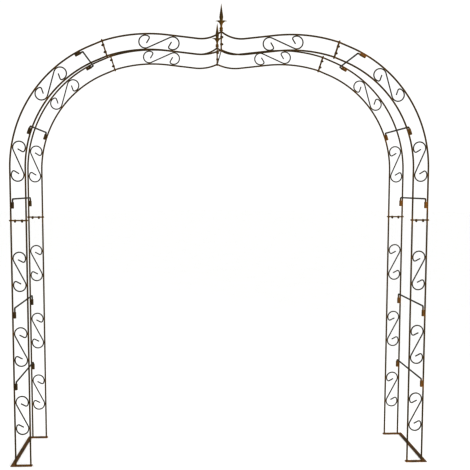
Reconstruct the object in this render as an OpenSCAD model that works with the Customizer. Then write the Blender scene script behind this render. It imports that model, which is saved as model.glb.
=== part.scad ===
// Garden trellis arch: two flat frames of bent rod, tied front to rear, with a pointed ogee top.
// Each frame bolts together from two leg, two corner and two top panels.
// Lengths are in millimetres. X runs across the walkway, Y through it and Z up.
// The origin is on the ground, in the middle of the arch.

/* [Overall size] */
// Overall width, measured across the feet
total_width = 2216; // [2000:1:2600]
// Overall height, from the ground to the tips of the finials
total_height = 2400; // [2300:1:2600]
// Distance between the front and rear frames, rod centre to rod centre
frame_spacing = 400; // [250:1:700]
// Distance between the outer and inner rods of a frame, centre to centre
panel_width = 78.6; // [74:0.1:84]

/* [Rod sizes] */
// Diameter of the frame rods
rod_d = 8; // [7:0.5:9]
// Diameter of the scroll rods
scroll_d = 6; // [5:0.5:6.5]
// Diameter of the crossbars
crossbar_d = 8; // [7:0.1:8.2]
// Diameter of the tie between the peaks
tie_d = 5; // [4:0.5:6]

/* [Arch outline] */
// Height of the joint between a leg panel and a corner panel
waist_height = 1299; // [1270:1:1330]
// Radius of the shoulder bend, in the outer rod
shoulder_radius = 673; // [650:1:690]
// Angle that the shoulder bend turns through
shoulder_turn = 67.5; // [65:0.5:70]
// Straight run between the shoulder bend and the shoulder joint
shoulder_run = 67; // [60:1:80]
// Slope at which the top panel leaves the shoulder joint
top_slope = 17.5; // [15:0.5:20]
// Radius of the crown bend, in the outer rod
crown_radius = 802; // [770:1:830]
// Downward slope of the straight run between the crown and the peak
dip_slope = 6.4; // [5:0.1:8]
// Radius of the reverse bend that sweeps up to the peak, in the outer rod
peak_radius = 160; // [145:1:185]
// Slope of the outer rods where they meet at the peak
peak_slope = 39.5; // [36:0.5:42]

/* [Scrolls] */
// Distance between the two loop centres of a scroll
scroll_spacing = 140; // [130:1:150]
// Radius of the tight bend at each end of a scroll
hook_radius = 9; // [7:0.5:10]
// Place around the loop, in degrees, where the tight bend begins
hook_start = 62; // [56:1:68]
// Angle that the tight bend turns through
hook_turn = 90; // [80:1:95]
// Length of the straight tail after the tight bend
tail_length = 26; // [20:1:28]

/* [Bolted joints] */
// Thickness of a joint plate
plate_t = 3; // [2:0.5:4]
// Size of a joint plate along Y
plate_depth = 20; // [16:1:24]
// Length of a joint plate beyond the rods at each end
plate_overhang = 3; // [1:0.5:5]
// Diameter of the bolts
bolt_d = 6; // [5:0.5:6.5]
// Diameter of the bolt holes
bolt_hole_d = 6.8; // [6.6:0.1:7]
// Distance between the two bolts of a joint
bolt_spacing = 36; // [32:1:40]
// Diameter of the low round bolt head
bolt_head_d = 12; // [10:0.5:14]
// Height of the bolt head
bolt_head_h = 2.4; // [1.5:0.1:3]
// Width of a nut across its flats
nut_width = 10; // [9:0.5:11]
// Height of a nut
nut_h = 5; // [4:0.5:6]
// Length of bolt that shows beyond the nut
bolt_end = 3; // [1:0.5:6]

/* [Crossbars] */
// Outside diameter of the sleeves that hold the crossbars
sleeve_d = 13; // [12:0.5:14]
// Bore of the sleeves
sleeve_bore_d = 8.8; // [8.8:0.1:9.2]
// Length of the sleeves
sleeve_length = 32; // [28:1:34]
// Thickness of the closed lower end of a sleeve
sleeve_floor = 2; // [1:0.5:3]
// Radius of the bends in a crossbar, at the middle of the rod
crossbar_bend = 9; // [7:0.5:9.5]

/* [Feet] */
// Width of the flat bar in the feet
foot_bar_width = 20; // [16:1:25]
// Thickness of the flat bar in the feet
foot_bar_t = 4; // [3:0.5:6]
// Distance from the outer rod to the outside of the foot
foot_overhang = 26; // [24:1:30]
// Distance from the inner rod to the free end of the foot
foot_toe = 7; // [5:1:12]

/* [Finials] */
// Height of a finial above the joint plates
finial_h = 134; // [130:1:140]
// Width across the barbs
barb_width = 60; // [54:1:64]
// Largest width of the blade
blade_width = 20; // [16:1:22]
// Largest thickness of the blade
blade_t = 11; // [8:1:12]

/* [Hidden] */
FRAMES = ["front", "rear"];
SIDES = ["left", "right"];
CROSSBARS = ["lower_leg", "upper_leg", "waist", "corner", "shoulder"];

// Corners of a round rod and of a full turn of a bend, in the preview mesh
rod_fn = 48;
bend_fn = 360;

// Height and length of the marks between the straight and bent stretches of a rod
bend_mark_t = 0.05;
bend_mark_length = 1;

// Gap that a weld bead bridges where two round rods touch
weld_gap = 0.2;
// Clearance between the end of a crossbar and the floor of its sleeve
crossbar_clearance = 0.3;
// Clearance of the thread in a nut
nut_clearance = 0.2;
// Half the size of the blocks that trim rods at a joint plate
trim = 60;

// Slopes of the outer rod at each change of direction
shoulder_slope = 90 - shoulder_turn;
half_width = total_width / 2 - foot_overhang;

// Level of the tops of the peak plates, on which the finials stand
plate_top = total_height - finial_h;
peak_height = plate_top - rod_d / 2 / cos(peak_slope);

// Straight run between the crown bend and the reverse bend, which closes the width at the peak
bends_reach = shoulder_radius * (1 - sin(shoulder_slope)) + shoulder_run * cos(shoulder_slope)
    + crown_radius * (sin(top_slope) + sin(dip_slope)) + peak_radius * (sin(peak_slope) + sin(dip_slope));
dip_run = (half_width - bends_reach) / cos(dip_slope);

// Height that the bends climb from the top of the straight leg to the peak
bends_rise = shoulder_radius * cos(shoulder_slope) + shoulder_run * sin(shoulder_slope)
    + crown_radius * (cos(dip_slope) - cos(top_slope)) - dip_run * sin(dip_slope)
    + peak_radius * (cos(dip_slope) - cos(peak_slope));
spring_height = peak_height - bends_rise;

// Height of the inner rods where they meet at the peak
inner_peak_radius = peak_radius + panel_width;
inner_peak_drop = sqrt(pow(inner_peak_radius, 2) - pow(peak_radius * sin(peak_slope), 2));
inner_peak_height = peak_height + peak_radius * cos(peak_slope) - inner_peak_drop;

// A frame is laid out flat, with X across the walkway and Y up, and is then stood on its feet.
// A pose is a point and a heading, in degrees from +X. Travel runs from a left foot up to the peak.
// A move is [length, 0] for a straight run or [radius, turn] for a bend, turning left if positive.
leg_pose = [[-half_width, foot_bar_t], 90];
leg_moves = [[waist_height - plate_t - foot_bar_t, 0]];
corner_pose = [[-half_width, waist_height + plate_t], 90];
corner_moves = [
    [spring_height - waist_height - plate_t, 0],
    [shoulder_radius, -shoulder_turn],
    [shoulder_run, 0],
];
waist_joint = [[-half_width, waist_height], 90];
shoulder_joint = [pose_after(corner_pose, corner_moves)[0], top_slope];
top_moves = [
    [crown_radius, -(top_slope + dip_slope)],
    [dip_run, 0],
    [peak_radius, dip_slope + peak_slope],
];
peak_joint = [[0, peak_height], 0];

// Places of the scroll centres, as distances along the middle line of a panel
leg_scroll_places = [269, 634, 1029];
corner_scroll_places = [301, 741];
top_scroll_places = [280];

// One row per crossbar: its panel, the rod its sleeves are on (0 outer, 1 inner), the distance of the
// sleeve along that rod, the height of the bar above the sleeve, its tilt and its stand-off
leg_panel = 0;
corner_panel = 1;
crossbar_table = [
    [leg_panel, 0, 422, 9.5, 0, 0],
    [leg_panel, 0, 802, 22, 0, 0],
    [corner_panel, 0, 75, 17, 0, 0],
    [corner_panel, 1, 455, 9.5, 0, 0],
    [corner_panel, 0, 980, 12, 1.5, 0.6],
];

// ---- Layout functions ----

function ahead(heading) = [cos(heading), sin(heading)];

function right_of(heading) = [sin(heading), -cos(heading)];

function move_length(move) = move[1] == 0 ? move[0] : move[0] * abs(move[1]) * PI / 180;

// Pose after the given share of one move
function advance(pose, move, share = 1) =
    move[1] == 0
    ? [pose[0] + share * move[0] * ahead(pose[1]), pose[1]]
    : let (
        heading = pose[1] + share * move[1],
        reach = sign(move[1]) * move[0]
    ) [pose[0] + reach * (right_of(heading) - right_of(pose[1])), heading];

function pose_after(pose, moves, i = 0) =
    i == len(moves) ? pose : pose_after(advance(pose, moves[i]), moves, i + 1);

// Pose at a distance along a chain of moves
function pose_at(pose, moves, distance, i = 0) =
    distance <= move_length(moves[i]) || i == len(moves) - 1
    ? advance(pose, moves[i], distance / move_length(moves[i]))
    : pose_at(advance(pose, moves[i]), moves, distance - move_length(moves[i]), i + 1);

// The same path, shifted sideways to the right, which is towards the inner rod
function shift_pose(pose, offset) = [pose[0] + offset * right_of(pose[1]), pose[1]];

function shift_moves(moves, offset) = [for (move = moves) [move[0] + sign(move[1]) * offset, move[1]]];

function panel_pose(panel) = panel == leg_panel ? leg_pose : corner_pose;

function panel_moves(panel) = panel == leg_panel ? leg_moves : corner_moves;

// Pose at the middle of a crossbar's sleeve, beside its rod and between the two rods
function sleeve_pose(row) =
    let (
        rod_shift = row[1] * panel_width,
        rod_pose = shift_pose(panel_pose(row[0]), rod_shift),
        rod_moves = shift_moves(panel_moves(row[0]), rod_shift),
        seat = pose_at(rod_pose, rod_moves, row[2]),
        reach = (rod_d + sleeve_d) / 2 + weld_gap + row[5],
        inward = row[1] == 0 ? 1 : -1
    ) [seat[0] + inward * reach * right_of(seat[1]), seat[1] - row[4]];

// ---- Placing ----

// Stands a flat layout up in the front or rear frame
module in_frame(frame) {
    y = frame == "front" ? -frame_spacing / 2 : frame_spacing / 2;
    translate([0, y, 0])
        rotate([90, 0, 0])
            children();
}

// Mirrors a left-hand piece for the right-hand side
module on_side(side) {
    if (side == "left") children();
    else mirror([1, 0, 0]) children();
}

// Puts Z along a pose's heading, Y to its left in the frame and X across the frame, towards the rear
module at_pose(pose) {
    translate([pose[0][0], pose[0][1], 0])
        rotate([0, 0, pose[1]])
            rotate([0, 90, 0])
                children();
}

// ---- Bent rods ----

module rod_move(pose, move, d) {
    if (move[1] == 0) {
        at_pose(pose)
            cylinder(h = move[0], d = d, $fn = rod_fn);
    } else {
        side = sign(move[1]);
        centre = pose[0] - side * move[0] * right_of(pose[1]);
        first_angle = min(pose[1], pose[1] + move[1]) - side * 90;
        translate([centre[0], centre[1], 0])
            rotate([0, 0, first_angle])
                rotate_extrude(angle = abs(move[1]), $fn = bend_fn)
                    translate([move[0], 0])
                        circle(d = d, $fn = rod_fn);
    }
}

// Thin ring left by the bending tool, which covers the seam between two moves
module bend_mark(pose, d) {
    at_pose(pose)
        translate([0, 0, -bend_mark_length / 2])
            cylinder(h = bend_mark_length, d = d + 2 * bend_mark_t, $fn = rod_fn);
}

module bent_rod(pose, moves, d, i = 0) {
    if (i < len(moves)) {
        next_pose = advance(pose, moves[i]);
        union() {
            rod_move(pose, moves[i], d);
            if (i < len(moves) - 1) bend_mark(next_pose, d);
        }
        bent_rod(next_pose, moves, d, i + 1);
    }
}

// Block that fills the space beyond the plane square to a pose
module block_beyond(pose) {
    at_pose(pose)
        translate([-trim, -trim - panel_width, 0])
            cube([2 * trim, 2 * trim + panel_width, 2 * trim]);
}

function turned_back(pose) = [pose[0], pose[1] + 180];

function step_along(pose, distance) = [pose[0] + distance * ahead(pose[1]), pose[1]];

module leg_rod(offset) {
    color("#2a2320")
        bent_rod(shift_pose(leg_pose, offset), shift_moves(leg_moves, offset), rod_d);
}

module corner_rod(offset) {
    color("#2a2320")
        difference() {
            bent_rod(shift_pose(corner_pose, offset), shift_moves(corner_moves, offset), rod_d);
            block_beyond(step_along(shoulder_joint, -plate_t));
        }
}

module top_rod(offset) {
    near_plate = step_along(shoulder_joint, plate_t);
    color("#2a2320")
        difference() {
            bent_rod(shift_pose(shoulder_joint, offset), shift_moves(top_moves, offset), rod_d);
            block_beyond(turned_back(shift_pose(near_plate, panel_width)));
            block_beyond(step_along(peak_joint, -plate_t));
        }
}

// ---- Scrolls ----

// Half of an S: the diagonal from its middle, the loop, the tight bend and the tail
module half_scroll(half_spacing) {
    loop_radius = (panel_width - rod_d - scroll_d) / 2 - weld_gap;
    lean = asin(loop_radius / half_spacing);
    diagonal = half_spacing * cos(lean);
    loop_turn = 360 - (90 - lean) - hook_start;
    moves = [
        [diagonal, 0],
        [loop_radius, -loop_turn],
        [hook_radius, -hook_turn],
        [tail_length, 0],
    ];
    bent_rod([[0, 0], 180 + lean], moves, scroll_d);
}

// Whole scroll with its loops centred on two points
module scroll_between(first, second) {
    middle = (first + second) / 2;
    span = second - first;
    translate([middle[0], middle[1], 0])
        rotate([0, 0, atan2(span[1], span[0])])
            for (turn = [0, 180])
                rotate([0, 0, turn])
                    half_scroll(norm(span) / 2);
}

module scrolls(pose, moves, places) {
    mid_pose = shift_pose(pose, panel_width / 2);
    mid_moves = shift_moves(moves, panel_width / 2);
    color("#3c3a37")
        for (place = places)
            scroll_between(
                pose_at(mid_pose, mid_moves, place - scroll_spacing / 2)[0],
                pose_at(mid_pose, mid_moves, place + scroll_spacing / 2)[0]
            );
}

module leg_scrolls() {
    scrolls(leg_pose, leg_moves, leg_scroll_places);
}

module corner_scrolls() {
    scrolls(corner_pose, corner_moves, corner_scroll_places);
}

module top_scrolls() {
    for (side = SIDES)
        on_side(side)
            scrolls(shoulder_joint, top_moves, top_scroll_places);
}

// ---- Bolted joints ----

// Places of a joint's two bolts, measured from the outer rod towards the inner rod
function bolt_places(rod_gap) = [for (end = [-1, 1]) -rod_gap / 2 + end * bolt_spacing / 2];

peak_gap = peak_height - inner_peak_height;

// Plate on the foot side of a joint, with its mating face in the plane of the joint
module drilled_plate(high_end, low_end, rod_gap) {
    translate([0, 0, -plate_t])
        difference() {
            translate([-plate_depth / 2, low_end, 0])
                cube([plate_depth, high_end - low_end, plate_t]);
            for (y = bolt_places(rod_gap))
                translate([0, y, -1])
                    cylinder(h = plate_t + 2, d = bolt_hole_d, $fn = rod_fn);
        }
}

module panel_plate() {
    reach = rod_d / 2 + plate_overhang;
    drilled_plate(reach, -panel_width - reach, panel_width);
}

module peak_plate() {
    drilled_plate(plate_top - peak_height, -peak_gap - rod_d / 2 - plate_overhang, peak_gap);
}

// Plates on the foot side of the waist and shoulder joints, and the left one of the peak joint
module joint_plates() {
    color("#33271f") {
        for (side = SIDES, joint = [waist_joint, shoulder_joint])
            on_side(side)
                at_pose(joint)
                    panel_plate();
        at_pose(peak_joint)
            peak_plate();
    }
}

// Plates on the peak side of the waist and shoulder joints, and the right one of the peak joint
module mating_plates() {
    color("#33271f") {
        for (side = SIDES, joint = [waist_joint, shoulder_joint])
            on_side(side)
                at_pose(joint)
                    translate([0, 0, plate_t])
                        panel_plate();
        on_side("right")
            at_pose(peak_joint)
                peak_plate();
    }
}

// Places its child at every bolt of both frames, with the nut's side of the joint below Z = 0
module at_bolts() {
    for (frame = FRAMES)
        in_frame(frame) {
            for (side = SIDES, joint = [waist_joint, shoulder_joint], y = bolt_places(panel_width))
                on_side(side)
                    at_pose(joint)
                        translate([0, y, 0])
                            children();
            for (y = bolt_places(peak_gap))
                on_side("right")
                    at_pose(peak_joint)
                        translate([0, y, 0])
                            children();
        }
}

module bolts() {
    shank = 2 * plate_t + nut_h + bolt_end;
    color("#2b2b2b")
        at_bolts() {
            translate([0, 0, plate_t - shank])
                cylinder(h = shank, d = bolt_d, $fn = rod_fn);
            translate([0, 0, plate_t])
                cylinder(h = bolt_head_h, d1 = bolt_head_d, d2 = bolt_d, $fn = rod_fn);
        }
}

module nuts() {
    color("#2b2b2b")
        at_bolts()
            translate([0, 0, -plate_t - nut_h])
                difference() {
                    cylinder(h = nut_h, d = nut_width / cos(30), $fn = 6);
                    translate([0, 0, -1])
                        cylinder(h = nut_h + 2, d = bolt_d + nut_clearance, $fn = rod_fn);
                }
}

// ---- Crossbars and their sleeves ----

module sleeve() {
    translate([0, 0, -sleeve_length / 2])
        difference() {
            cylinder(h = sleeve_length, d = sleeve_d, $fn = rod_fn);
            translate([0, 0, sleeve_floor])
                cylinder(h = sleeve_length, d = sleeve_bore_d, $fn = rod_fn);
        }
}

module sleeves() {
    color("#6a4025")
        for (row = crossbar_table)
            at_pose(sleeve_pose(row))
                sleeve();
}

// Staple-shaped bar whose two legs stand in a front and a rear sleeve
module crossbar(row) {
    bar_height = sleeve_length / 2 + row[3];
    leg_end = -sleeve_length / 2 + sleeve_floor + crossbar_clearance;
    leg = bar_height - crossbar_bend - leg_end;
    moves = [
        [leg, 0],
        [crossbar_bend, -90],
        [frame_spacing - 2 * crossbar_bend, 0],
        [crossbar_bend, -90],
        [leg, 0],
    ];
    color("#2f2b26")
        rotate([90, 0, 0])
            at_pose(sleeve_pose(row))
                rotate([90, 0, 0])
                    bent_rod([[-frame_spacing / 2, leg_end], 90], moves, crossbar_d);
}

// Straight tie that butts on the lower ends of the front and rear peak plates
module peak_tie() {
    tie_length = frame_spacing - plate_depth;
    color("#4a3a2c")
        translate([0, tie_length / 2, inner_peak_height - rod_d / 2])
            rotate([90, 0, 0])
                cylinder(h = tie_length, d = tie_d, $fn = rod_fn);
}

// ---- Feet ----

// Flat bars under the front leg, along the side and under the rear leg, welded into a U
module foot() {
    toe = half_width - panel_width - foot_toe;
    length = total_width / 2 - toe;
    depth = frame_spacing + foot_bar_width;
    color("#4a2f1c")
        difference() {
            translate([-total_width / 2, -depth / 2, 0])
                cube([length, depth, foot_bar_t]);
            translate([foot_bar_width - total_width / 2, foot_bar_width - depth / 2, -1])
                cube([length, depth - 2 * foot_bar_width, foot_bar_t + 2]);
        }
}

// ---- Finials ----

// Radii and levels of the turned stem, from the base up
stem_base_r = 10;
stem_neck_r = 5;
stem_base_h = 9;
ring_r = 9.5;
ring_t = 7;
ring_level = 10.5;
stem_h = 46;

// Centres and radii of the circles that outline a barb: its back and the hollow below it
barb_back = [barb_width / 2 - 18, 10.2];
barb_back_r = 40;
barb_hollow = [barb_width / 2 - 2, 24];
barb_hollow_r = 22;
barb_t = 7;

// Levels of the blade's widest place and of its lower end
blade_shoulder = 65;
blade_foot = 44;

module stem() {
    cylinder(h = stem_base_h, r1 = stem_base_r, r2 = stem_neck_r, $fn = rod_fn);
    cylinder(h = stem_h, r = stem_neck_r, $fn = rod_fn);
    translate([0, 0, ring_level])
        rotate_extrude($fn = rod_fn)
            translate([ring_r - ring_t / 2, 0])
                circle(d = ring_t, $fn = rod_fn);
}

// Right half of the pair of barbs, as an outline with the stem along Y
module half_barbs() {
    difference() {
        intersection() {
            translate(barb_back)
                circle(r = barb_back_r, $fn = 2 * rod_fn);
            translate([0, barb_hollow[1]])
                square(barb_back_r);
        }
        translate(barb_hollow)
            circle(r = barb_hollow_r, $fn = 2 * rod_fn);
    }
}

module barbs() {
    rotate([90, 0, 0])
        translate([0, 0, -barb_t / 2])
            linear_extrude(barb_t)
                for (turn = [0, 1])
                    mirror([turn, 0])
                        half_barbs();
}

module blade_slice(level, width, thickness) {
    translate([0, 0, level])
        linear_extrude(0.1)
            polygon([[width / 2, 0], [0, thickness / 2], [-width / 2, 0], [0, -thickness / 2]]);
}

module blade() {
    hull() {
        blade_slice(blade_foot, 0.6 * blade_width, 0.7 * blade_t);
        blade_slice(blade_shoulder, blade_width, blade_t);
        blade_slice(finial_h - 0.1, 1.5, 1.5);
    }
}

// Cast spear point with two barbs, a ringed stem and a flared base
module finial(frame) {
    y = frame == "front" ? -frame_spacing / 2 : frame_spacing / 2;
    color("#3a261a")
        translate([0, y, plate_top]) {
            stem();
            barbs();
            blade();
        }
}

// ---- Assembly ----

for (frame = FRAMES, side = SIDES) {
    place = str(frame, "_", side);
    in_frame(frame) on_side(side) leg_rod(0);
    in_frame(frame) on_side(side) leg_rod(panel_width);
    in_frame(frame) on_side(side) corner_rod(0);
    in_frame(frame) on_side(side) corner_rod(panel_width);
    in_frame(frame) on_side(side) top_rod(0);
    in_frame(frame) on_side(side) top_rod(panel_width);
    in_frame(frame) on_side(side) leg_scrolls();
    in_frame(frame) on_side(side) corner_scrolls();
    in_frame(frame) on_side(side) sleeves();
}
for (frame = FRAMES) {
    in_frame(frame) top_scrolls();
    in_frame(frame) joint_plates();
    in_frame(frame) mating_plates();
    finial(frame);
}
for (side = SIDES) {
    for (i = [0:len(CROSSBARS) - 1])
        on_side(side) crossbar(crossbar_table[i]);
    on_side(side) foot();
}
peak_tie();
bolts();
nuts();
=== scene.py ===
"""Looks of a garden trellis arch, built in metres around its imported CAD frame."""

from math import asin, atan2, copysign, cos, exp, pi, radians, sin, sqrt

import bmesh
import bpy
from mathutils import Matrix, Vector, noise
from mathutils.kdtree import KDTree


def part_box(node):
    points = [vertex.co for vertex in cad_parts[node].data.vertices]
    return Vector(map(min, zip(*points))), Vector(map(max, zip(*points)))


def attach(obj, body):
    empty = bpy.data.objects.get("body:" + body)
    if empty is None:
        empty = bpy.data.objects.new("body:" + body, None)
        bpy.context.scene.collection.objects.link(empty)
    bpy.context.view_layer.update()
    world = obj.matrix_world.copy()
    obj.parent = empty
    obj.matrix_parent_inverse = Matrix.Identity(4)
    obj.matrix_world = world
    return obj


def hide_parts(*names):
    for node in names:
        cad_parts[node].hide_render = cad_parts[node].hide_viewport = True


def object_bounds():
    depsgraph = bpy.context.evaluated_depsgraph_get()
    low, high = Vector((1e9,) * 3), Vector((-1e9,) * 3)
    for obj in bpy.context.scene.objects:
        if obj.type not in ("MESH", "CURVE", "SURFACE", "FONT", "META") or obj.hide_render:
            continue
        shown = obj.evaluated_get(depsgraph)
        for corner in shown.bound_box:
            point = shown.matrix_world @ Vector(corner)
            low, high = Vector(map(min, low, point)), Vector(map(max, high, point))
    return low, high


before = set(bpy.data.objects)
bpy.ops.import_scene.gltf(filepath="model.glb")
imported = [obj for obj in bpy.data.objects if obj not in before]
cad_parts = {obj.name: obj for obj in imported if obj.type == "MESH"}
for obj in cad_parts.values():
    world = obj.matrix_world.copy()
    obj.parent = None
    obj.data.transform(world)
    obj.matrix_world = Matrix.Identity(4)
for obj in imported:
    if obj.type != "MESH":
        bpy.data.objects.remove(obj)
cad_low, cad_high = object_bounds()

# ---- Sizes ----

MM = 0.001
FRAMES = ("front", "rear")
SIDES = ("left", "right")
ARCH = "arch"

plates_low, plates_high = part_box("front_joint_plates")
foot_low, foot_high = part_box("left_foot")
total_width = cad_high.x - cad_low.x
frame_spacing = -(plates_low.y + plates_high.y)
plate_depth = plates_high.y - plates_low.y
plate_top = plates_high.z
foot_t = foot_high.z - foot_low.z

panel_width = 78.6 * MM
rod_r = 4 * MM
scroll_r = 3 * MM
crossbar_r = 4 * MM
tie_r = 2.5 * MM
weld_gap = 0.2 * MM

# Outline of the outer rod
waist_height = 1299 * MM
shoulder_radius = 673 * MM
shoulder_turn = radians(67.5)
shoulder_run = 67 * MM
top_slope = radians(17.5)
crown_radius = 802 * MM
dip_slope = radians(6.4)
peak_radius = 160 * MM
peak_slope = radians(39.5)

# Scrolls
scroll_spacing = 140 * MM
hook_radius = 9 * MM
hook_start = radians(62)
hook_turn = radians(90)
tail_length = 26 * MM
leg_scroll_places = (269 * MM, 634 * MM, 1029 * MM)
corner_scroll_places = (301 * MM, 741 * MM)
top_scroll_places = (280 * MM,)

# Bolted joints
plate_t = 3 * MM
plate_overhang = 3 * MM
bolt_r = 3 * MM
bolt_hole_r = 3.4 * MM
bolt_spacing = 36 * MM
bolt_head_r = 6 * MM
bolt_head_h = 2.4 * MM
nut_width = 10 * MM
nut_h = 5 * MM
bolt_end = 3 * MM
thread_pitch = 1 * MM
thread_depth = 0.55 * MM

# Crossbars and sleeves
sleeve_r = 6.5 * MM
sleeve_bore_r = 4.4 * MM
sleeve_length = 32 * MM
sleeve_floor = 2 * MM
crossbar_bend = 9 * MM
crossbar_clearance = 0.3 * MM

# Feet
foot_bar_width = 20 * MM
foot_overhang = 26 * MM
foot_toe = 7 * MM

# ---- Layout: the same flat drawing as the CAD, with X across the walkway and Y up ----

half_width = total_width / 2 - foot_overhang
peak_height = plate_top - rod_r / cos(peak_slope)
shoulder_slope = pi / 2 - shoulder_turn
bends_reach = (
    shoulder_radius * (1 - sin(shoulder_slope)) + shoulder_run * cos(shoulder_slope)
    + crown_radius * (sin(top_slope) + sin(dip_slope))
    + peak_radius * (sin(peak_slope) + sin(dip_slope))
)
dip_run = (half_width - bends_reach) / cos(dip_slope)
bends_rise = (
    shoulder_radius * cos(shoulder_slope) + shoulder_run * sin(shoulder_slope)
    + crown_radius * (cos(dip_slope) - cos(top_slope)) - dip_run * sin(dip_slope)
    + peak_radius * (cos(dip_slope) - cos(peak_slope))
)
spring_height = peak_height - bends_rise
inner_peak_drop = sqrt((peak_radius + panel_width) ** 2 - (peak_radius * sin(peak_slope)) ** 2)
inner_peak_height = peak_height + peak_radius * cos(peak_slope) - inner_peak_drop
peak_gap = peak_height - inner_peak_height


def ahead(heading):
    return Vector((cos(heading), sin(heading)))


def right_of(heading):
    return Vector((sin(heading), -cos(heading)))


def move_length(move):
    size, turn = move
    return size * abs(turn) if turn else size


def advance(pose, move, share=1.0):
    """The pose after a share of one move.

    A pose is a point and a heading. A move is a straight (length, 0) or a bend (radius, turn).
    """
    place, heading = pose
    size, turn = move
    if not turn:
        return place + share * size * ahead(heading), heading
    new_heading = heading + share * turn
    return place + copysign(size, turn) * (right_of(new_heading) - right_of(heading)), new_heading


def pose_after(pose, moves):
    for move in moves:
        pose = advance(pose, move)
    return pose


def pose_at(pose, moves, distance):
    for i, move in enumerate(moves):
        length = move_length(move)
        if distance <= length or i == len(moves) - 1:
            return advance(pose, move, distance / length)
        pose = advance(pose, move)
        distance -= length


def shifted(pose, moves, offset):
    """The same path, moved to the right, which is towards the inner rod."""
    moves = [(size + copysign(offset, turn) if turn else size, turn) for size, turn in moves]
    return (pose[0] + offset * right_of(pose[1]), pose[1]), moves


leg_path = ((Vector((-half_width, foot_t)), pi / 2), [(waist_height - plate_t - foot_t, 0)])
corner_path = (
    (Vector((-half_width, waist_height + plate_t)), pi / 2),
    [(spring_height - waist_height - plate_t, 0), (shoulder_radius, -shoulder_turn), (shoulder_run, 0)],
)
waist_joint = (Vector((-half_width, waist_height)), pi / 2)
shoulder_joint = (pose_after(*corner_path)[0], top_slope)
top_path = (
    shoulder_joint,
    [(crown_radius, -(top_slope + dip_slope)), (dip_run, 0), (peak_radius, dip_slope + peak_slope)],
)
peak_joint = (Vector((0, peak_height)), 0.0)

# Each crossbar: its name, the panel and the rod offset its sleeves are on, the distance of the sleeve
# along that rod, the height of the bar above the sleeve, its tilt and its stand-off
CROSSBARS = (
    ("lower_leg", leg_path, 0, 422 * MM, 9.5 * MM, 0, 0),
    ("upper_leg", leg_path, 0, 802 * MM, 22 * MM, 0, 0),
    ("waist", corner_path, 0, 75 * MM, 17 * MM, 0, 0),
    ("corner", corner_path, panel_width, 455 * MM, 9.5 * MM, 0, 0),
    ("shoulder", corner_path, 0, 980 * MM, 12 * MM, radians(1.5), 0.6 * MM),
)


def sleeve_seat(row):
    """Pose on the rod beside the middle of a sleeve, and the side of it that the sleeve is on."""
    _, path, offset, distance, _, _, _ = row
    return pose_at(*shifted(*path, offset), distance), -1 if offset else 1


def sleeve_pose(row):
    """Pose of the middle of a sleeve, along its bore."""
    *_, tilt, stand_off = row
    (place, heading), side = sleeve_seat(row)
    reach = rod_r + sleeve_r + weld_gap + stand_off
    return place + side * reach * right_of(heading), heading - tilt


# ---- Placing ----


def frame_y(frame_name):
    return -frame_spacing / 2 if frame_name == "front" else frame_spacing / 2


def standing(frame_name, side):
    """Stands the flat layout up in a frame, mirrored for the right-hand side."""
    matrix = Matrix.Translation((0, frame_y(frame_name), 0)) @ Matrix.Rotation(pi / 2, 4, "X")
    return matrix @ mirrored(side)


def mirrored(side):
    return Matrix.Scale(-1, 4, (1, 0, 0)) if side == "right" else Matrix.Identity(4)


def at_pose(pose, x=0.0, y=0.0, z=0.0):
    """Puts Z along a pose's heading, Y to its left and X across the frame, towards the rear."""
    place, heading = pose
    direction = Matrix.Rotation(heading, 4, "Z") @ Matrix.Rotation(pi / 2, 4, "Y")
    return Matrix.Translation(place.to_3d()) @ direction @ Matrix.Translation((x, y, z))


# ---- Shapes ----

# Shares of a bar's radius: its worn edge, and the distances of the rings from its cut ends
WORN_EDGE = 0.22
END_RINGS = (0.01, 0.03, 0.08, 0.18)
# Longest step along a bend, as a share of the bend's radius
BEND_STEP = 0.12


def loft(bm, rings, closed=False):
    """Joins rings of points into a skin, capped at both ends unless it closes on itself."""
    rings = [[bm.verts.new(point) for point in ring] for ring in rings]
    following = rings[1:] + rings[:1] if closed else rings[1:]
    for low, high in zip(rings, following):
        for i, corner in enumerate(low):
            bm.faces.new((low[i - 1], corner, high[i], high[i - 1]))
    if not closed:
        bm.faces.new(rings[0][::-1])
        bm.faces.new(rings[-1])


def rounded_end(radius):
    """Radius along a bar whose cut ends have worn edges."""
    edge = WORN_EDGE * radius

    def at(distance, total):
        inset = edge - min(distance, total - distance, edge)
        return radius - edge + sqrt(edge * edge - inset * inset)

    return at


def swept(bm, pose, moves, radius_at, step, sides, matrix=Matrix.Identity(4), closed=False):
    """Round bar along a path in the layout's plane. Its radius is radius_at(distance, total length)."""
    total = sum(map(move_length, moves))
    places = []
    start = 0.0
    for size, turn in moves:
        length = move_length((size, turn))
        count = max(2, round(length / min(step, BEND_STEP * size if turn else step)))
        places += [start + length * i / count for i in range(count)]
        start += length
    if not closed:
        edges = [share * radius_at(total / 2, total) for share in END_RINGS]
        places = sorted(places + edges + [total - edge for edge in edges] + [total])
    rings = []
    for distance in places:
        place, heading = pose_at(pose, moves, distance)
        radius = radius_at(distance, total)
        across = right_of(heading).to_3d()
        ring = []
        for i in range(sides):
            angle = 2 * pi * i / sides
            out = Vector((cos(angle) * across.x, cos(angle) * across.y, sin(angle)))
            ring.append(matrix @ (place.to_3d() + radius * out))
        rings.append(ring)
    loft(bm, rings, closed)


def filled(profile, step):
    """A profile with points added along its long straight stretches."""
    full = []
    for (radius, level), (next_radius, next_level) in zip(profile, profile[1:]):
        count = max(1, round(abs(next_level - level) / step))
        for i in range(count):
            share = i / count
            full.append((radius + share * (next_radius - radius), level + share * (next_level - level)))
    return full + [profile[-1]]


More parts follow.
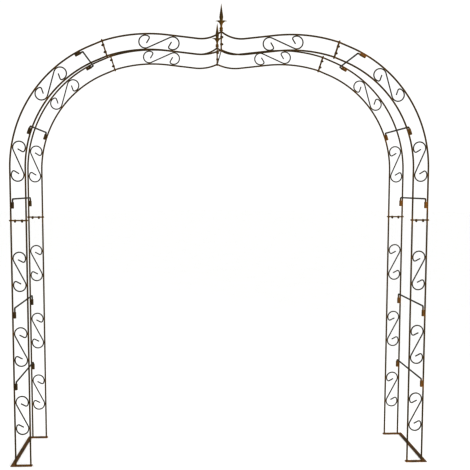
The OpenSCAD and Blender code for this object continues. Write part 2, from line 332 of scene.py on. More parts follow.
def turned(bm, profile, matrix, sides, reach=None, closed=False):
    """Solid turned about Z from (radius, level) pairs. Reach can change the radius round the axis."""
    rings = []
    for radius, level in profile:
        ring = []
        for i in range(sides):
            angle = 2 * pi * i / sides
            out = reach(radius, level, angle) if reach else radius
            ring.append(matrix @ Vector((out * cos(angle), out * sin(angle), level)))
        rings.append(ring)
    loft(bm, rings, closed)


def cut_beyond(bm, pose, distance):
    """Trims off what is past a distance along a pose's heading, square to it."""
    place, heading = pose
    point = (place + distance * ahead(heading)).to_3d()
    geometry = bm.verts[:] + bm.edges[:] + bm.faces[:]
    normal = ahead(heading).to_3d()
    bmesh.ops.bisect_plane(bm, geom=geometry, plane_co=point, plane_no=normal, clear_outer=True)
    bmesh.ops.holes_fill(bm, edges=[e for e in bm.edges if e.is_boundary])


# ---- Pieces ----

# Unevenness of rolled bar: its broad and fine lumps to a metre, and how high the fine ones are beside the
# broad ones
BROAD_LUMPS = 55
FINE_LUMPS = 240
FINE_HEIGHT = 0.55

aged = []
rust_spots = []


def roughen(bm, amount):
    """Moves the skin by a fraction of a millimetre, as rolled and rusted bar."""
    bm.normal_update()
    for v in bm.verts:
        lumps = noise.noise(v.co * BROAD_LUMPS) + FINE_HEIGHT * noise.noise(v.co * FINE_LUMPS)
        v.co += amount * lumps * v.normal


def piece(bm, name, matrix, slot, body=ARCH, replaces=(), lumps=0.07 * MM, sharp=radians(40)):
    """Turns a bmesh of the layout into an object that rides on a body and wears a slot's material."""
    bm.transform(matrix)
    bmesh.ops.recalc_face_normals(bm, faces=bm.faces)
    if lumps:
        roughen(bm, lumps)
    mesh = bpy.data.meshes.new(name)
    bm.to_mesh(mesh)
    bm.free()
    dress(mesh, name, slot, body, replaces, sharp)


def dress(mesh, name, slot, body, replaces, sharp):
    """Makes the object, with its shading and the material of its slot, puts it on its body and hides the
    CAD nodes it stands for.
    """
    mesh.shade_smooth()
    mesh.set_sharp_from_angle(angle=sharp)
    mesh.materials.append(MATERIALS[slot])
    made = bpy.data.objects.new(name, mesh)
    bpy.context.scene.collection.objects.link(made)
    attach(made, body)
    if replaces:
        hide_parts(*replaces)
    aged.append(made)


def rust_at(matrix, point, strength, reach):
    """Notes a rusty spot: its strength, and the distance over which that falls to about a third."""
    rust_spots.append((matrix @ point.to_3d(), strength, reach))


# ---- Materials ----

# Marks to a metre of each texture of the iron
PATCHES = 17
MOTTLE = 150
STREAKS = 330
GRAIN = 1500
PITS = 620


class Nodes:
    """Short calls for building one material's nodes."""

    def __init__(self, name):
        self.material = bpy.data.materials.new(name)
        self.material.use_nodes = True
        self.tree = self.material.node_tree
        self.surface = self.tree.nodes["Principled BSDF"]

    def add(self, kind, inputs=(), **settings):
        made = self.tree.nodes.new(kind)
        for key, value in settings.items():
            setattr(made, key, value)
        for key, value in dict(inputs).items():
            self.set(made.inputs[key], value)
        return made

    def set(self, socket, value):
        if isinstance(value, bpy.types.NodeSocket):
            self.tree.links.new(value, socket)
        else:
            socket.default_value = value

    def math(self, operation, first, second, third=None, clamp=False):
        inputs = {0: first, 1: second}
        if third is not None:
            inputs[2] = third
        return self.add("ShaderNodeMath", inputs, operation=operation, use_clamp=clamp).outputs[0]

    def noise(self, place, scale, detail, roughness=0.6, distortion=0.0):
        inputs = {
            "Vector": place,
            "Scale": scale,
            "Detail": detail,
            "Roughness": roughness,
            "Distortion": distortion,
        }
        return self.add("ShaderNodeTexNoise", inputs).outputs["Fac"]

    def spread(self, value, low, high, to_low=0.0, to_high=1.0):
        inputs = {"Value": value, "From Min": low, "From Max": high, "To Min": to_low, "To Max": to_high}
        return self.add("ShaderNodeMapRange", inputs, interpolation_type="SMOOTHSTEP").outputs["Result"]

    def mix(self, share, first, second):
        made = self.add("ShaderNodeMix", data_type="RGBA")
        self.set(made.inputs[0], share)
        self.set(made.inputs[6], first)
        self.set(made.inputs[7], second)
        return made.outputs[2]


def weathered_iron(name, scale_colour, brown, orange, rust, polish=0.0):
    """Iron with mill scale, patches of brown rust, orange rust round welds and on top, and fine pits."""
    n = Nodes(name)
    place = n.add("ShaderNodeTexCoord").outputs["Object"]
    patches = n.noise(place, PATCHES, detail=5, roughness=0.62, distortion=0.3)
    mottle = n.noise(place, MOTTLE, detail=6, roughness=0.66)
    drawn_out = n.add("ShaderNodeMapping", {"Vector": place, "Scale": (1, 1, 0.22)}).outputs[0]
    streaks = n.noise(drawn_out, STREAKS, detail=4)
    grain = n.noise(place, GRAIN, detail=3)
    pits = n.add("ShaderNodeTexVoronoi", {"Vector": place, "Scale": PITS}).outputs["Distance"]
    near_weld = n.add("ShaderNodeAttribute", attribute_name="rust").outputs["Fac"]
    normal = n.add("ShaderNodeNewGeometry").outputs["Normal"]
    upward = n.add("ShaderNodeSeparateXYZ", {0: normal}).outputs[2]

    exposure = n.math("MULTIPLY_ADD", near_weld, 0.55, rust)
    exposure = n.math("MULTIPLY_ADD", upward, 0.035, exposure)
    worn = n.math("MULTIPLY_ADD", mottle, 0.55, n.math("MULTIPLY", patches, 0.6))
    rusting = n.math("ADD", worn, exposure)
    brown_share = n.spread(rusting, 0.62, 0.92)
    orange_share = n.spread(n.math("MULTIPLY_ADD", streaks, 0.35, rusting), 0.98, 1.4)

    colour = n.mix(brown_share, scale_colour, brown)
    colour = n.mix(orange_share, colour, orange)
    shade = n.spread(grain, 0.25, 0.75, 0.72, 1.22)
    colour = n.add("ShaderNodeVectorMath", {0: colour, 1: shade}, operation="MULTIPLY").outputs[0]
    n.set(n.surface.inputs["Base Color"], colour)

    rough = n.math("MULTIPLY_ADD", brown_share, 0.20, 0.60 - polish)
    rough = n.math("MULTIPLY_ADD", orange_share, 0.14, rough)
    rough = n.math("MULTIPLY_ADD", grain, 0.10, rough, clamp=True)
    n.set(n.surface.inputs["Roughness"], rough)
    metal = n.math("MULTIPLY", n.math("SUBTRACT", 1.0, brown_share, clamp=True), 0.30)
    n.set(n.surface.inputs["Metallic"], metal)
    n.surface.inputs["Specular IOR Level"].default_value = 0.22

    crust = n.math("MULTIPLY", mottle, n.math("MULTIPLY_ADD", brown_share, 0.8, 0.35))
    height = n.math("MULTIPLY_ADD", pits, 0.30, crust)
    height = n.math("MULTIPLY_ADD", grain, 0.25, height)
    bump = n.add("ShaderNodeBump", {"Strength": 0.75, "Distance": 0.35 * MM, "Height": height})
    n.set(n.surface.inputs["Normal"], bump.outputs[0])
    return n.material


MILL_BLACK = (0.056, 0.036, 0.013, 1)
DARK_BROWN = (0.116, 0.065, 0.017, 1)
RUST_BROWN = (0.165, 0.080, 0.022, 1)
RUST_ORANGE = (0.340, 0.140, 0.024, 1)
DULL_ORANGE = (0.235, 0.105, 0.020, 1)
STEEL_GREY = (0.042, 0.036, 0.024, 1)
OLIVE_BROWN = (0.120, 0.070, 0.010, 1)

MATERIALS = {
    "frame_rod": weathered_iron("frame_rod_iron", MILL_BLACK, DARK_BROWN, DULL_ORANGE, 0.05),
    "scroll_rod": weathered_iron("scroll_rod_iron", STEEL_GREY, DARK_BROWN, DULL_ORANGE, -0.06, 0.05),
    "joint_plate": weathered_iron("joint_plate_iron", MILL_BLACK, DARK_BROWN, DULL_ORANGE, 0.08),
    "finial": weathered_iron("finial_iron", MILL_BLACK, OLIVE_BROWN, DULL_ORANGE, 0.20, 0.06),
    "sleeve": weathered_iron("sleeve_iron", MILL_BLACK, DARK_BROWN, RUST_ORANGE, 0.02),
    "crossbar": weathered_iron("crossbar_iron", STEEL_GREY, DARK_BROWN, DULL_ORANGE, 0.0, 0.03),
    "foot_bar": weathered_iron("foot_bar_iron", MILL_BLACK, RUST_BROWN, DULL_ORANGE, 0.14),
    "fastener": weathered_iron("fastener_steel", MILL_BLACK, MILL_BLACK, DULL_ORANGE, -0.05, 0.12),
}


# ---- Rods ----

ROD_STEP = 5 * MM
ROD_SIDES = 18
# How far the rods go into their plates
CUT_DEPTH = 1.2 * MM


def rod(quarter, panel, which, path, cuts):
    """One frame rod. Cuts are the joints it is trimmed at, with the heading away from the rod."""
    frame_name, side = quarter
    offset = panel_width if which == "inner" else 0
    bm = bmesh.new()
    swept(bm, *shifted(*path, offset), rounded_end(rod_r), ROD_STEP, ROD_SIDES)
    for joint in cuts:
        cut_beyond(bm, joint, CUT_DEPTH - plate_t)
    node = f"{frame_name}_{side}_{panel}_{which}_rod"
    name = f"{frame_name}_{side}_{panel}_{which}_bar"
    piece(bm, name, standing(frame_name, side), "frame_rod", replaces=[node])


def turned_back(pose):
    return pose[0], pose[1] + pi


def quarter_rods(quarter):
    """The six rods of one side of a frame, trimmed inside the plates that they stand on."""
    shoulder_from_above = turned_back(shoulder_joint)
    up_leg = (leg_path[0], [(leg_path[1][0][0] + CUT_DEPTH, 0)])
    corner_start = (corner_path[0][0] - CUT_DEPTH * ahead(pi / 2), pi / 2)
    corner_moves = [(corner_path[1][0][0] + CUT_DEPTH, 0)] + corner_path[1][1:]
    for which in ("outer", "inner"):
        rod(quarter, "leg", which, up_leg, [])
        rod(quarter, "corner", which, (corner_start, corner_moves), [shoulder_joint])
        rod(quarter, "top", which, top_path, [shoulder_from_above, peak_joint])


# ---- Scrolls ----

SCROLL_STEP = 4 * MM
SCROLL_SIDES = 14
loop_radius = panel_width / 2 - rod_r - scroll_r - weld_gap


def scroll(name, node, matrix, first, second):
    """S of one bar, from tail to tail, with its loops centred on two points."""
    span = second - first
    lean = asin(2 * loop_radius / span.length)
    loop_turn = 2 * pi - (pi / 2 - lean) - hook_start
    half = [
        (span.length / 2 * cos(lean), 0),
        (loop_radius, -loop_turn),
        (hook_radius, -hook_turn),
        (tail_length, 0),
    ]
    tail_end, heading = pose_after((Vector((0, 0)), pi + lean), half)
    moves = [(size, -turn) for size, turn in reversed(half)] + half
    bm = bmesh.new()
    swept(bm, turned_back((tail_end, heading)), moves, rounded_end(scroll_r), SCROLL_STEP, SCROLL_SIDES)
    centre = Matrix.Translation(((first + second) / 2).to_3d())
    slope = Matrix.Rotation(atan2(span.y, span.x), 4, "Z")
    piece(bm, name, matrix @ centre @ slope, "scroll_rod", replaces=[node], lumps=0.05 * MM)


def loop_poses(path, places):
    """Poses of the loop centres on the middle line of a panel, two for each scroll."""
    middle = shifted(*path, panel_width / 2)
    return [pose_at(*middle, place + end * scroll_spacing / 2) for place in places for end in (-1, 1)]


def panel_scrolls(quarter, panel, path, places):
    """The scrolls of one panel. Those of both top halves of a frame share a node."""
    frame_name, side = quarter
    node = f"{frame_name}_top_scrolls" if panel == "top" else f"{frame_name}_{side}_{panel}_scrolls"
    loops = loop_poses(path, places)
    for i, (first, second) in enumerate(zip(loops[::2], loops[1::2])):
        name = f"{frame_name}_{side}_{panel}_scroll_{i + 1}"
        scroll(name, node, standing(frame_name, side), first[0], second[0])


# ---- Bolted joints ----

PLATE_EDGE = 0.45 * MM
HOLE_SIDES = 24
bolts_apart = (-bolt_spacing / 2, bolt_spacing / 2)

# Outline of a bolt's head from its edge to its middle, as shares of its radius and height
DOME = (
    (1.0, 0),
    (1.0, 0.15),
    (0.95, 0.33),
    (0.83, 0.56),
    (0.65, 0.77),
    (0.42, 0.92),
    (0.2, 0.98),
    (0.01, 1.0),
)
# Rings to each turn of a bolt's thread
THREAD_RINGS = 7
BOLT_SIDES = 36
NUT_SIDES = 72


def drilled_bar(high_end, low_end, middle):
    """Flat bar with worn edges and two bolt holes, lying in XY with its faces at Z = 0 and below."""
    curve = bpy.data.curves.new("plate_outline", "CURVE")
    curve.dimensions = "2D"
    curve.fill_mode = "BOTH"
    curve.extrude = plate_t / 2 - PLATE_EDGE
    curve.bevel_depth = PLATE_EDGE
    curve.bevel_resolution = 2
    curve.offset = -PLATE_EDGE
    x = plate_depth / 2
    outlines = [[(-x, low_end), (x, low_end), (x, high_end), (-x, high_end)]]
    for y in bolts_apart:
        angles = [2 * pi * i / HOLE_SIDES for i in range(HOLE_SIDES)]
        outlines.append([(bolt_hole_r * cos(a), middle + y + bolt_hole_r * sin(a)) for a in angles])
    for outline in outlines:
        spline = curve.splines.new("POLY")
        spline.points.add(len(outline) - 1)
        for point, (px, py) in zip(spline.points, outline):
            point.co = (px, py, -plate_t / 2, 1)
        spline.use_cyclic_u = True
    drawn = bpy.data.objects.new("plate_outline", curve)
    bm = bmesh.new()
    mesh = bpy.data.meshes.new_from_object(drawn)
    bm.from_mesh(mesh)
    bmesh.ops.remove_doubles(bm, verts=bm.verts, dist=0.001 * MM)
    bpy.data.objects.remove(drawn)
    bpy.data.curves.remove(curve)
    bpy.data.meshes.remove(mesh)
    return bm


def plate(name, node, matrix, high_end, low_end, middle):
    piece(drilled_bar(high_end, low_end, middle), name, matrix, "joint_plate", replaces=[node], lumps=0)


def bolt(name, matrix):
    """Low round head, plain shank through the plates, and a thread beyond the nut."""
    thread_end = -plate_t - nut_h - bolt_end
    thread_length = bolt_end + thread_pitch
    tip = 0.05 * MM
    profile = [(r * bolt_head_r, plate_t + level * bolt_head_h) for r, level in reversed(DOME)]
    profile += [(bolt_r, plate_t), (bolt_r, thread_end + thread_length)]
    steps = round(thread_length / thread_pitch * THREAD_RINGS)
    thread = [thread_end + thread_length * (1 - i / steps) for i in range(1, steps)]
    profile += [(bolt_r, level) for level in thread]
    profile += [(bolt_r - thread_depth, thread_end + tip), (tip, thread_end)]

    def reach(radius, level, angle):
        if radius < bolt_r or level > thread[0]:
            return radius
        share = (level / thread_pitch + angle / (2 * pi)) % 1
        flank = radius - thread_depth * (1 - abs(2 * share - 1))
        return min(flank, bolt_r - thread_depth + level - thread_end)

    bm = bmesh.new()
    turned(bm, profile, Matrix.Identity(4), BOLT_SIDES, reach)
    piece(bm, name, matrix, "fastener", replaces=["bolts"], lumps=0.02 * MM, sharp=radians(50))


def nut(name, matrix):
    """Hexagon nut with its corners turned off at both ends."""
    corner_r = nut_width / 2 / cos(pi / 6)
    play = 0.1 * MM
    bore = bolt_r + play
    edge = 0.5 * MM
    face_r = nut_width / 2 - play
    low = [(bore, edge), (bore + edge, 0), (face_r, 0), (corner_r, edge)]
    profile = low + [(radius, nut_h - level) for radius, level in reversed(low)]

    def reach(radius, _level, angle):
        return min(radius, nut_width / 2 / cos(angle % (pi / 3) - pi / 6))

    bm = bmesh.new()
    turned(bm, profile, Matrix.Translation((0, 0, -plate_t - nut_h)), NUT_SIDES, reach, closed=True)
    piece(bm, name, matrix, "fastener", replaces=["nuts"], lumps=0.02 * MM, sharp=radians(25))


def bolted_joint(label, stand, joint, plates, high_end, gap):
    """Both plates, bolts and nuts of a joint. Plates lists each one's name, node and matrix."""
    for name, node, matrix in plates:
        plate(name, node, matrix, high_end, -gap - rod_r - plate_overhang, -gap / 2)
    for i, y in enumerate(bolts_apart):
        matrix = stand @ at_pose(joint, y=y - gap / 2)
        bolt(f"{label}_bolt_{i + 1}", matrix)
        nut(f"{label}_nut_{i + 1}", matrix)


def panel_joints(quarter):
    """The joints between leg and corner and between corner and top, with the nuts on the lower panel."""
    frame_name, side = quarter
    stand = standing(frame_name, side)
    for joint_name, joint in (("waist", waist_joint), ("shoulder", shoulder_joint)):
        label = f"{frame_name}_{side}_{joint_name}"
        plates = [
            (f"{label}_lower_plate", f"{frame_name}_joint_plates", stand @ at_pose(joint)),
            (f"{label}_upper_plate", f"{frame_name}_mating_plates", stand @ at_pose(joint, z=plate_t)),
        ]
        bolted_joint(label, stand, joint, plates, rod_r + plate_overhang, panel_width)


def peak_plates(frame_name):
    """The joint between the two top halves, with the nuts on the right one."""
    left, right = standing(frame_name, "left"), standing(frame_name, "right")
    label = f"{frame_name}_peak"
    plates = [
        (f"{label}_left_plate", f"{frame_name}_joint_plates", left @ at_pose(peak_joint)),
        (f"{label}_right_plate", f"{frame_name}_mating_plates", right @ at_pose(peak_joint)),
    ]
    bolted_joint(label, right, peak_joint, plates, plate_top - peak_height, peak_gap)


# ---- Crossbars, their sleeves and the tie ----

SLEEVE_STEP = 2 * MM
SLEEVE_SIDES = 28
# How far each end of the tie goes into its plate
TIE_BITE = 0.75 * MM


def sleeve(name, node, matrix):
    """Short tube with a closed lower end."""
    half = sleeve_length / 2
    floor = sleeve_floor - half
    lip = 0.45 * MM
    worn = 0.3 * lip
    centre = 0.05 * MM
    profile = [
        (centre, floor),
        (sleeve_bore_r - lip, floor),
        (sleeve_bore_r, floor + lip),
        (sleeve_bore_r, half - lip),
        (sleeve_bore_r + worn, half - worn),
        (sleeve_bore_r + lip, half),
        (sleeve_r - lip, half),
        (sleeve_r - worn, half - worn),
        (sleeve_r, half - lip),
        (sleeve_r, lip - half),
        (sleeve_r - worn, worn - half),
        (sleeve_r - lip, -half),
        (centre, -half),
    ]
    bm = bmesh.new()
    turned(bm, filled(profile, SLEEVE_STEP), matrix, SLEEVE_SIDES)
    piece(bm, name, Matrix.Identity(4), "sleeve", replaces=[node], lumps=0.10 * MM)


def crossbar(side, row):
    """Staple-shaped bar whose two legs stand in a front and a rear sleeve."""
    name, _, _, _, rise, _, _ = row
    bar_height = sleeve_length / 2 + rise
    leg_end = -sleeve_length / 2 + sleeve_floor + crossbar_clearance
    leg = bar_height - crossbar_bend - leg_end
    bend = (crossbar_bend, -pi / 2)
    moves = [(leg, 0), bend, (frame_spacing - 2 * crossbar_bend, 0), bend, (leg, 0)]
    start = (Vector((-frame_spacing / 2, leg_end)), pi / 2)
    upright = Matrix.Rotation(pi / 2, 4, "X")
    bm = bmesh.new()
    swept(bm, start, moves, rounded_end(crossbar_r), ROD_STEP, ROD_SIDES)
    matrix = mirrored(side) @ upright @ at_pose(sleeve_pose(row)) @ upright
    node = f"{side}_{name}_crossbar"
    piece(bm, f"{side}_{name}_bar", matrix, "crossbar", body=node, replaces=[node], lumps=0.06 * MM)


def peak_tie():
    """Straight bar between the inner peaks of the two frames."""
    length = frame_spacing - plate_depth + 2 * TIE_BITE
    start = (Vector((-length / 2, 0)), 0.0)
    bm = bmesh.new()
    swept(bm, start, [(length, 0)], rounded_end(tie_r), ROD_STEP, SCROLL_SIDES)
    along_y = Matrix.Rotation(pi / 2, 4, "Z")
    level = Matrix.Translation((0, 0, inner_peak_height - rod_r))
    piece(bm, "peak_tie_bar", level @ along_y, "crossbar", replaces=["peak_tie"], lumps=0.05 * MM)


# ---- Feet ----

# Places across the flats of the bar that have points of their own, so that the flats can be uneven
FLAT_POINTS = (-0.6, -0.2, 0.2, 0.6)


def foot_section():
    """Outline of the flat bar: across the bar and up, with worn edges."""
    edge = 0.7 * MM
    x, y = foot_bar_width / 2, foot_t
    corners = (
        (x - edge, edge, -90),
        (x - edge, y - edge, 0),
        (edge - x, y - edge, 90),
        (edge - x, edge, 180),
    )
    outline = []
    for cx, cy, first in corners:
        for turn in (0, 30, 60, 90):
            angle = radians(first + turn)
            outline.append((cx + edge * cos(angle), cy + edge * sin(angle)))
    flat = [share * (x - edge) for share in FLAT_POINTS]
    low, high = [(u, 0.0) for u in flat], [(u, y) for u in reversed(flat)]
    return outline[:8] + high + outline[8:] + low


def foot(side):
    """Flat bars under the front leg, along the side and under the rear leg, mitred into a U."""
    outer = -total_width / 2 + foot_bar_width / 2
    toe = -(half_width - panel_width - foot_toe)
    end = frame_spacing / 2
    corners = [Vector((toe, -end)), Vector((outer, -end)), Vector((outer, end)), Vector((toe, end))]
    mitres = (None, Vector((1, 1)), Vector((1, -1)))
    # Square rings nearer to a mitre than this would cross it
    clear = foot_bar_width / 2 + 1 * MM
    section = foot_section()
    rings = []
    for i, mitre in enumerate(mitres):
        run = corners[i + 1] - corners[i]
        length = run.length
        straight = run.normalized()
        inward = Vector((straight.y, -straight.x))
        count = round(length / ROD_STEP)
        for step in range(count + 1):
            along = step / count * length
            past_mitre = mitre is None or along >= clear
            before_mitre = i == len(mitres) - 1 or length - along >= clear
            if step and not (past_mitre and before_mitre):
                continue
            middle = corners[i] + along * straight
            sideways = inward if step or mitre is None else mitre
            rings.append([(middle + u * sideways).to_3d() + Vector((0, 0, v)) for u, v in section])
    bm = bmesh.new()
    loft(bm, rings)
    piece(bm, f"{side}_foot_bar", mirrored(side), "foot_bar", replaces=[f"{side}_foot"], lumps=0.12 * MM)


# ---- Finials ----

# Height, half width and half thickness of the casting in millimetres, and its squareness, which is 2 where
# it is round and 1 where it is a diamond
SPEAR = (
    (-0.8, 10.0, 9.6, 2.0),
    (0.6, 9.9, 9.4, 2.0),
    (2.0, 9.0, 8.6, 2.0),
    (4.0, 7.6, 7.3, 2.0),
    (6.0, 6.4, 6.4, 2.0),
    (7.4, 7.6, 7.6, 2.0),
    (8.8, 9.0, 9.0, 2.0),
    (10.5, 9.5, 9.5, 2.0),
    (12.2, 9.0, 9.0, 2.0),
    (13.6, 7.4, 7.4, 2.0),
    (15.0, 5.8, 5.8, 2.0),
    (17.5, 5.1, 5.0, 2.0),
    (24.0, 4.8, 4.7, 2.0),
    (30.0, 5.0, 4.8, 1.9),
    (36.0, 5.6, 5.2, 1.7),
    (42.0, 6.6, 5.4, 1.4),
    (48.0, 7.3, 5.3, 1.25),
    (53.0, 7.9, 5.1, 1.15),
    (59.0, 9.0, 5.2, 1.08),
    (65.0, 10.0, 5.5, 1.05),
    (70.0, 9.7, 5.2, 1.05),
    (80.0, 8.3, 4.5, 1.05),
    (92.0, 6.5, 3.6, 1.05),
    (106.0, 4.4, 2.5, 1.1),
    (120.0, 2.4, 1.6, 1.2),
    (130.0, 1.2, 1.0, 1.5),
    (133.8, 0.7, 0.7, 2.0),
)
SPEAR_SIDES = 40

# The two arcs that a barb lies between, its back and the hollow below it: centre, radius, and the angle at
# the stem and the turn to the tip in degrees
BARB_BACK = (Vector((12.0, 10.2)) * MM, 40 * MM, 108, 44.5)
BARB_HOLLOW = (Vector((28.0, 24.0)) * MM, 22 * MM, 180, 94.5)
BARB_HALF_T = 3.4 * MM
BARB_HALF_TIP = 1.4 * MM
BARB_SQUARENESS = 1.6
BARB_STEPS = 22
BARB_SIDES = 20
CASTING_GRAIN = 0.6 * MM
SMOOTHINGS = 3


def superellipse(u, v, power, count):
    """Points round an outline that is an ellipse at power 2 and a diamond at power 1."""
    points = []
    for i in range(count):
        angle = 2 * pi * i / count
        c, s = cos(angle), sin(angle)
        points.append((copysign(abs(c) ** (2 / power), c) * u, copysign(abs(s) ** (2 / power), s) * v))
    return points


def on_arc(arc, share):
    centre, radius, first, turn = arc
    angle = radians(first - turn * share)
    return centre + radius * Vector((cos(angle), sin(angle)))


def barb_rings(side):
    """Sections of one barb, from inside the stem to the tip."""
    rings = []
    for i in range(BARB_STEPS + 1):
        share = i / BARB_STEPS
        high, low = on_arc(BARB_BACK, share), on_arc(BARB_HOLLOW, share)
        middle, reach = (high + low) / 2, (high - low) / 2
        thick = BARB_HALF_T * (1 - 0.5 * share**1.5)
        reach *= max(1.0, BARB_HALF_TIP / reach.length)
        ring = []
        for u, v in superellipse(1, thick, BARB_SQUARENESS, BARB_SIDES):
            point = middle + u * reach
            ring.append(Vector((side * point.x, v, point.y)))
        rings.append(ring)
    return rings


def casting(bm, name):
    """One smooth skin over overlapping solids, with the soft corners of a sand casting."""
    rough = bpy.data.meshes.new(name)
    bm.to_mesh(rough)
    bm.free()
    holder = bpy.data.objects.new(name, rough)
    bpy.context.scene.collection.objects.link(holder)
    remesh = holder.modifiers.new("skin", "REMESH")
    remesh.mode = "VOXEL"
    remesh.voxel_size = CASTING_GRAIN
    evaluated = holder.evaluated_get(bpy.context.evaluated_depsgraph_get())
    skin = bpy.data.meshes.new_from_object(evaluated)
    bpy.data.objects.remove(holder)
    bpy.data.meshes.remove(rough)
    bm = bmesh.new()
    bm.from_mesh(skin)
    bpy.data.meshes.remove(skin)
    axes = {"use_axis_x": True, "use_axis_y": True, "use_axis_z": True}
    for _ in range(SMOOTHINGS):
        bmesh.ops.smooth_vert(bm, verts=bm.verts, factor=0.5, **axes)
    return bm


def finial(frame_name):
    """Cast spear point with two barbs, a ring and a flared base."""
    bm = bmesh.new()
    rings = []
    for level, width, thickness, power in SPEAR:
        outline = superellipse(width * MM, thickness * MM, power, SPEAR_SIDES)
        rings.append([Vector((u, v, level * MM)) for u, v in outline])
    loft(bm, rings)
    for side in (-1, 1):
        loft(bm, barb_rings(side))
    bmesh.ops.recalc_face_normals(bm, faces=bm.faces)
    matrix = Matrix.Translation((0, frame_y(frame_name), plate_top))
    name = f"{frame_name}_finial_casting"
    piece(casting(bm, name), name, matrix, "finial", replaces=[f"{frame_name}_finial"], lumps=0.12 * MM)


# ---- Weld beads ----

BEAD_STEP = 0.6 * MM
BEAD_SIDES = 10
# How far the middle of a bead stands off the bar that it goes round
BEAD_STAND_OFF = 0.2 * MM
# Length of the ripples on a bead, and their height on a ring and on a straight run as a share of its radius
RIPPLE = 1.9 * MM
RING_RIPPLE = 0.13
RUN_RIPPLE = 0.1

# Length and radius of the beads beside a bar, and radius of those round one
SCROLL_BEAD = (10 * MM, 2.7 * MM)
SLEEVE_BEAD = (11 * MM, 1.7 * MM)
ROD_BEAD = 1.3 * MM
TIE_BEAD = 1.1 * MM

# Beside the middle of each sleeve: its beads' levels, how far they are to each side, and its rust's levels
SLEEVE_BEAD_LEVELS = (-9 * MM, 8 * MM)
SLEEVE_BEAD_SIDE = 2.6 * MM
SLEEVE_RUST_LEVELS = (-13 * MM, 0, 13 * MM)

# Strength and reach of the rust round each kind of weld. The right-hand sleeves get a stronger orange than
# the left-hand ones.
SCROLL_RUST = (0.45, 13 * MM)
SLEEVE_RUST = {"left": (0.35, 13 * MM), "right": (1.1, 13 * MM)}
ROD_RUST = (0.55, 22 * MM)
TIE_RUST = (0.6, 20 * MM)


def rippled(radius, height, distance):
    """Radius of a bead laid in overlapping drops."""
    return radius * (1 + height * cos(2 * pi * distance / RIPPLE))


def ring_bead(radius):
    """Radius along a bead that closes on itself."""

    def at(distance, _total):
        return rippled(radius, RING_RIPPLE, distance)

    return at


def run_bead(radius):
    """Radius along a short bead that thins out at both ends."""

    def at(distance, total):
        share = 2 * distance / total - 1
        return rippled(radius * sqrt(max(0.02, 1 - share * share)), RUN_RIPPLE, distance)

    return at


def weld_ring(bm, matrix, bar_r, bead_r):
    """Bead round a bar that stands on a plate in the matrix's XY plane."""
    radius = bar_r + BEAD_STAND_OFF
    start = (Vector((radius, 0)), pi / 2)
    swept(bm, start, [(radius, 2 * pi)], ring_bead(bead_r), BEAD_STEP, BEAD_SIDES, matrix, closed=True)


def weld_run(bm, matrix, length, bead_r):
    """Short bead along the matrix's Z axis, centred on its origin."""
    start = (Vector((-length / 2, 0)), 0.0)
    lying = matrix @ Matrix.Rotation(-pi / 2, 4, "Y")
    swept(bm, start, [(length, 0)], run_bead(bead_r), BEAD_STEP, BEAD_SIDES, lying)


def scroll_welds(bm, stand, path, places):
    """Beads where both sides of each loop touch the rods."""
    reach = loop_radius + scroll_r + weld_gap / 2
    for place, heading in loop_poses(path, places):
        for side in (-1, 1):
            touch = (place + side * reach * right_of(heading), heading)
            weld_run(bm, at_pose(touch), *SCROLL_BEAD)
            rust_at(stand, touch[0], *SCROLL_RUST)


def sleeve_welds(bm, stand, row, rust):
    """A bead in each groove between a sleeve and its rod."""
    (place, heading), side = sleeve_seat(row)
    touch = (place + side * (rod_r + weld_gap / 2) * right_of(heading), heading)
    for x in (-1, 1):
        for z in SLEEVE_BEAD_LEVELS:
            weld_run(bm, at_pose(touch, x=x * SLEEVE_BEAD_SIDE, z=z), *SLEEVE_BEAD)
    for z in SLEEVE_RUST_LEVELS:
        beside = touch[0] + z * ahead(heading) + side * 0.5 * sleeve_r * right_of(heading)
        rust_at(stand, beside, *rust)


def rod_end_welds(bm, stand, joint, z, gap, stretch):
    """Beads round the outer and inner rods where they stand on a joint plate."""
    for y in (0, -gap):
        matrix = at_pose(joint, y=y, z=z) @ Matrix.Scale(stretch, 4, (0, 1, 0))
        weld_ring(bm, matrix, rod_r, ROD_BEAD)
        rust_at(stand, matrix.translation, *ROD_RUST)


def panel_welds(quarter, panel, path, scroll_places, rod_ends, rows):
    """All the beads of one panel, as one piece."""
    frame_name, side = quarter
    stand = standing(frame_name, side)
    bm = bmesh.new()
    scroll_welds(bm, stand, path, scroll_places)
    for ends in rod_ends:
        rod_end_welds(bm, stand, *ends)
    for row in rows:
        sleeve_welds(bm, stand, row, SLEEVE_RUST[side])
    piece(bm, f"{frame_name}_{side}_{panel}_welds", stand, "joint_plate", lumps=0.18 * MM)


def tie_welds():
    """Beads round both ends of the tie, as one piece."""
    bm = bmesh.new()
    for end in (-1, 1):
        level = Vector((0, end * (frame_spacing - plate_depth) / 2, inner_peak_height - rod_r))
        matrix = Matrix.Translation(level) @ Matrix.Rotation(pi / 2, 4, "X")
        weld_ring(bm, matrix, tie_r, TIE_BEAD)
        rust_at(Matrix.Identity(4), level, *TIE_RUST)
    piece(bm, "peak_tie_welds", Matrix.Identity(4), "joint_plate", lumps=0.15 * MM)


# ---- Rust that gathers round the welds and feet ----


def spread_rust():
    """Writes to each vertex how strongly the nearest welds have rusted it."""
    tree = KDTree(len(rust_spots))
    for i, (place, _, _) in enumerate(rust_spots):
        tree.insert(place, i)
    tree.balance()
    for made in aged:
        rust = made.data.attributes.new("rust", "FLOAT", "POINT")
        values = []
        for v in made.data.vertices:
            near = 0.0
            for _, i, distance in tree.find_n(v.co, 3):
                _, strength, reach = rust_spots[i]
                near = max(near, strength * exp(-distance / reach))
            values.append(near)
        rust.data.foreach_set("value", values)


# ---- Assembly ----

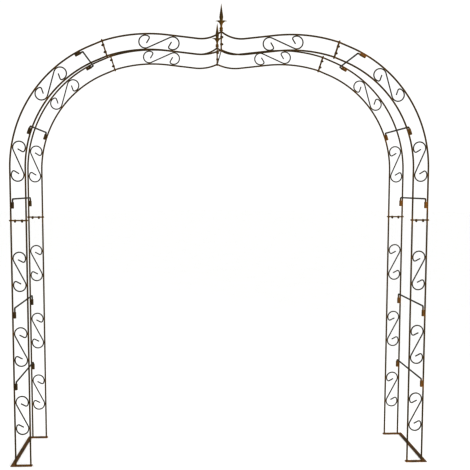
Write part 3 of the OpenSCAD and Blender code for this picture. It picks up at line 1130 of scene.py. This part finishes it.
# Where the rods of a panel stand: the pose of the joint or foot, the level of the face there, the distance
# between the rods, and how much their slant stretches the beads
LEG_ENDS = (
    (leg_path[0], 0.0, panel_width, 1.0),
    (waist_joint, -plate_t, panel_width, 1.0),
)
CORNER_ENDS = (
    (waist_joint, plate_t, panel_width, 1.0),
    (shoulder_joint, -plate_t, panel_width, 1.0),
)
TOP_ENDS = (
    (shoulder_joint, plate_t, panel_width, 1.0),
    (peak_joint, -plate_t, peak_gap, 1.25),
)

# Each panel: its name, its path, the places of its scrolls, where its rods end, and its crossbars
PANELS = (
    ("leg", leg_path, leg_scroll_places, LEG_ENDS, CROSSBARS[:2]),
    ("corner", corner_path, corner_scroll_places, CORNER_ENDS, CROSSBARS[2:]),
    ("top", top_path, top_scroll_places, TOP_ENDS, ()),
)

for frame_name in FRAMES:
    for side in SIDES:
        quarter = (frame_name, side)
        quarter_rods(quarter)
        panel_joints(quarter)
        for panel, path, scroll_places, _, _ in PANELS:
            panel_scrolls(quarter, panel, path, scroll_places)
        stem = f"{frame_name}_{side}"
        for row in CROSSBARS:
            seat = standing(frame_name, side) @ at_pose(sleeve_pose(row))
            sleeve(f"{stem}_{row[0]}_sleeve", f"{stem}_sleeves", seat)
        for panel, path, scroll_places, rod_ends, rows in PANELS:
            panel_welds(quarter, panel, path, scroll_places, rod_ends, rows)
    peak_plates(frame_name)
    finial(frame_name)
for side in SIDES:
    foot(side)
    for row in CROSSBARS:
        crossbar(side, row)
peak_tie()
tie_welds()
spread_rust()

# ---- Stage ----

FLOOR_SHADES = ((0.94, 0.94, 0.935, 1), (0.97, 0.97, 0.965, 1))
CAMERA_DOWN = 4.1
CAMERA_RIGHT = 1.62


def floor():
    """Wide white floor, a little uneven in shade."""
    bm = bmesh.new()
    bmesh.ops.create_circle(bm, cap_ends=True, radius=40, segments=96)
    mesh = bpy.data.meshes.new("studio_floor")
    bm.to_mesh(mesh)
    bm.free()
    n = Nodes("studio_floor")
    place = n.add("ShaderNodeTexCoord").outputs["Object"]
    n.set(n.surface.inputs["Base Color"], n.mix(n.noise(place, 3, 3), *FLOOR_SHADES))
    n.surface.inputs["Roughness"].default_value = 0.9
    n.surface.inputs["Specular IOR Level"].default_value = 0.1
    mesh.materials.append(n.material)
    made = bpy.data.objects.new("studio_floor", mesh)
    bpy.context.scene.collection.objects.link(made)


def softbox(name, place, target, size, watts):
    """Round lamp with a grid, which keeps its light off the floor below it."""
    light = bpy.data.lights.new(name, "AREA")
    light.shape = "DISK"
    light.size = size
    light.energy = watts
    light.spread = radians(60)
    made = bpy.data.objects.new(name, light)
    made.location = place
    made.rotation_euler = (Vector(target) - Vector(place)).to_track_quat("-Z", "Y").to_euler()
    made.visible_camera = False
    bpy.context.scene.collection.objects.link(made)


def studio():
    """White backdrop and floor, with a lamp on each side of the front."""
    world = bpy.data.worlds.new("studio")
    world.use_nodes = True
    backdrop = world.node_tree.nodes["Background"]
    backdrop.inputs["Color"].default_value = (1.0, 1.0, 1.0, 1)
    backdrop.inputs["Strength"].default_value = 1.05
    bpy.context.scene.world = world
    # Rods a few pixels wide fade into the white behind them, and a gamma under 1 darkens them again
    bpy.context.scene.view_settings.view_transform = "Standard"
    bpy.context.scene.view_settings.gamma = 0.72
    middle = (0, 0, 1.2)
    softbox("key_light", (3.9, -3.4, 1.5), middle, 1.6, 24)
    softbox("fill_light", (-4.2, -2.2, 1.8), middle, 2.5, 4)
    floor()


def camera():
    """Stands in front of the arch at eye height, a little left of its middle, and looks slightly down."""
    lens = bpy.data.cameras.new("camera")
    lens.sensor_width = 36
    lens.lens = 50.8
    lens.shift_x = 0.071
    lens.clip_end = 200
    made = bpy.data.objects.new("camera", lens)
    made.location = (-0.197, -3.636, 1.469)
    made.rotation_euler = (radians(90 - CAMERA_DOWN), 0, radians(-CAMERA_RIGHT))
    bpy.context.scene.collection.objects.link(made)
    bpy.context.scene.camera = made


studio()
camera()
